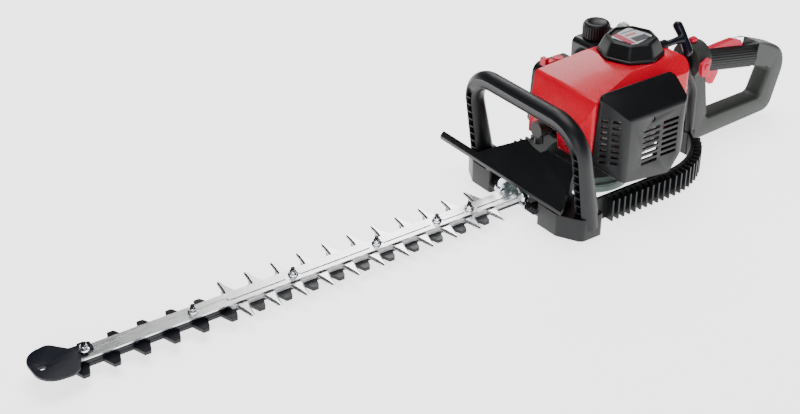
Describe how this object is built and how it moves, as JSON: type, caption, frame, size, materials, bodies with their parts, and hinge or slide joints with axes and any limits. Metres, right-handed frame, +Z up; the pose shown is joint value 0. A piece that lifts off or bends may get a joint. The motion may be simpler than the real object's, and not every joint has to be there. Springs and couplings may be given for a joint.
{
  "type": "petrol hedge trimmer",
  "caption": "Petrol hedge trimmer with a long double-sided reciprocating blade, front loop handle, hand guard, vertical-shaft engine and closed rear handle.",
  "frame": {"origin": "middle of the overall box, on the surface that the trimmer stands on", "axes": "+X from the blade tip to the rear handle, +Z up; the blade's centre line is at Y = -13 mm, because the hand guard reaches further out on the +Y side"},
  "size_m": [1.102, 0.254, 0.1898],
  "materials": {
    "blade_steel": "ground",
    "bar_steel": "bright rolled",
    "guard_black": "satin",
    "tip_plastic": "satin",
    "zinc": "bright zinc",
    "bolt_black": "oiled black",
    "case_alloy": "cast, grey green coat",
    "machined": "machined",
    "engine_alloy": "cast",
    "black_plastic": "satin moulded",
    "red_plastic": "gloss moulded",
    "lever_red": "satin moulded",
    "olive_plastic": "fine grain",
    "grip_rubber": "ribbed",
    "rubber_black": "plain",
    "tank_plastic": "translucent smoke",
    "bulb_clear": "clear soft dome",
    "label_silver": "printed foil",
    "rope_white": "braided",
    "filter_foam": "foam",
    "muffler_steel": "heat tinted"
  },
  "bodies": {
    "chassis": {"air_cleaner_cover": "black_plastic", "air_filter": "filter_foam", "blade_bolts": "bolt_black", "blade_guard": "guard_black", "blade_nuts": "zinc", "cable_sheath": "rubber_black", "carburettor": "engine_alloy", "crank_bearings": "machined", "crankcase": "engine_alloy", "cylinder": "engine_alloy", "engine_hood": "red_plastic", "front_bracket": "black_plastic", "front_handle": "black_plastic", "fuel_tank": "tank_plastic", "gear_shaft": "machined", "gearcase_lower": "case_alloy", "gearcase_upper": "case_alloy", "grip_sleeve": "grip_rubber", "guide_bar": "bar_steel", "hand_guard": "black_plastic", "housing_screws": "zinc", "ignition_coil": "black_plastic", "intake_insulator": "black_plastic", "label_plate": "label_silver", "mount_springs": "machined", "muffler": "muffler_steel", "muffler_cover": "black_plastic", "pinion_bearing": "machined", "plug_cap": "rubber_black", "primer_base": "black_plastic", "rear_handle": "olive_plastic", "rear_mount": "rubber_black", "recoil_spring": "machined", "side_rail": "black_plastic", "spark_plug": "machined", "starter_cover": "black_plastic", "starter_rope": "rope_white", "tip_protector": "tip_plastic", "wishbone_yoke": "zinc"},
    "upper_cutter": {"upper_blade": "blade_steel"},
    "lower_cutter": {"lower_blade": "blade_steel"},
    "crank_group": {"crankshaft": "machined", "flywheel_fan": "engine_alloy", "clutch_hub": "machined", "clutch_shoes": "machined"},
    "drum_group": {"clutch_drum": "machined", "drive_pinion": "machined"},
    "gear_group": {"drive_gear": "machined"},
    "piston_group": {"piston": "engine_alloy", "wrist_pin": "machined", "connecting_rod": "machined"},
    "reel_group": {"starter_reel": "black_plastic"},
    "pull_group": {"starter_handle": "tip_plastic"},
    "trigger": {"throttle_trigger": "lever_red"},
    "lockout": {"lockout_lever": "lever_red"},
    "limiter": {"throttle_limiter": "lever_red"},
    "switch": {"stop_switch": "lever_red"},
    "choke": {"choke_lever": "lever_red"},
    "primer": {"primer_bulb": "bulb_clear"},
    "tank_cap": {"fuel_cap": "black_plastic"}
  },
  "joints": [
    {"name": "upper_blade_slide", "type": "slide", "parent": "chassis", "child": "upper_cutter", "axis": [1, 0, 0], "range_m": [-0.008, 0.008]},
    {"name": "lower_blade_slide", "type": "slide", "parent": "chassis", "child": "lower_cutter", "axis": [1, 0, 0], "range_m": [-0.008, 0.008]},
    {"name": "crank_spin", "type": "hinge", "parent": "chassis", "child": "crank_group", "pos_m": [0.267, -0.013, 0.1], "axis": [0, 0, 1], "continuous": true},
    {"name": "drum_spin", "type": "hinge", "parent": "chassis", "child": "drum_group", "pos_m": [0.267, -0.013, 0.05], "axis": [0, 0, 1], "continuous": true},
    {"name": "gear_spin", "type": "hinge", "parent": "chassis", "child": "gear_group", "pos_m": [0.208, -0.013, 0.025], "axis": [0, 0, 1], "continuous": true},
    {"name": "piston_slide", "type": "slide", "parent": "chassis", "child": "piston_group", "axis": [1, 0, 0], "range_m": [0, 0.026]},
    {"name": "starter_pull", "type": "slide", "parent": "chassis", "child": "pull_group", "axis": [0.501, -0.3006, 0.8116], "range_m": [0, 0.6], "stiffness_N_per_m": 8, "springref_m": -0.1},
    {"name": "reel_spin", "type": "hinge", "parent": "chassis", "child": "reel_group", "pos_m": [0.267, -0.013, 0.165], "axis": [0, 0, 1], "range_deg": [0, 1500]},
    {"name": "throttle_squeeze", "type": "hinge", "parent": "chassis", "child": "trigger", "pos_m": [0.39915, -0.013, 0.11006], "axis": [0, -1, 0], "range_deg": [0, 15], "stiffness_Nm_per_rad": 0.4, "springref_deg": -17.19},
    {"name": "lockout_press", "type": "hinge", "parent": "chassis", "child": "lockout", "pos_m": [0.40498, -0.013, 0.13033], "axis": [0, 1, 0], "range_deg": [0, 4.5], "stiffness_Nm_per_rad": 0.6, "springref_deg": -5.73},
    {"name": "limiter_turn", "type": "hinge", "parent": "chassis", "child": "limiter", "pos_m": [0.377, -0.041, 0.126], "axis": [0, 1, 0], "range_deg": [-25, 25]},
    {"name": "switch_slide", "type": "slide", "parent": "chassis", "child": "switch", "axis": [1, 0, 0], "range_m": [0, 0.004]},
    {"name": "choke_turn", "type": "hinge", "parent": "chassis", "child": "choke", "pos_m": [0.223, 0.072, 0.134], "axis": [0, 0, -1], "range_deg": [0, 45]},
    {"name": "primer_press", "type": "slide", "parent": "chassis", "child": "primer", "axis": [0, 0, -1], "range_m": [0, 0.004], "stiffness_N_per_m": 400, "springref_m": -0.0005},
    {"name": "cap_turn", "type": "hinge", "parent": "chassis", "child": "tank_cap", "pos_m": [0.283, 0.0678, 0.16], "axis": [0, 0, 1], "range_deg": [0, 360]}
  ],
  "couplings": [
    {"joint": "lower_blade_slide", "follows": "upper_blade_slide", "ratio": -1},
    {"joint": "drum_spin", "follows": "gear_spin", "ratio": -3},
    {"joint": "reel_spin", "follows": "starter_pull", "rad_per_m": 42.553}
  ]
}
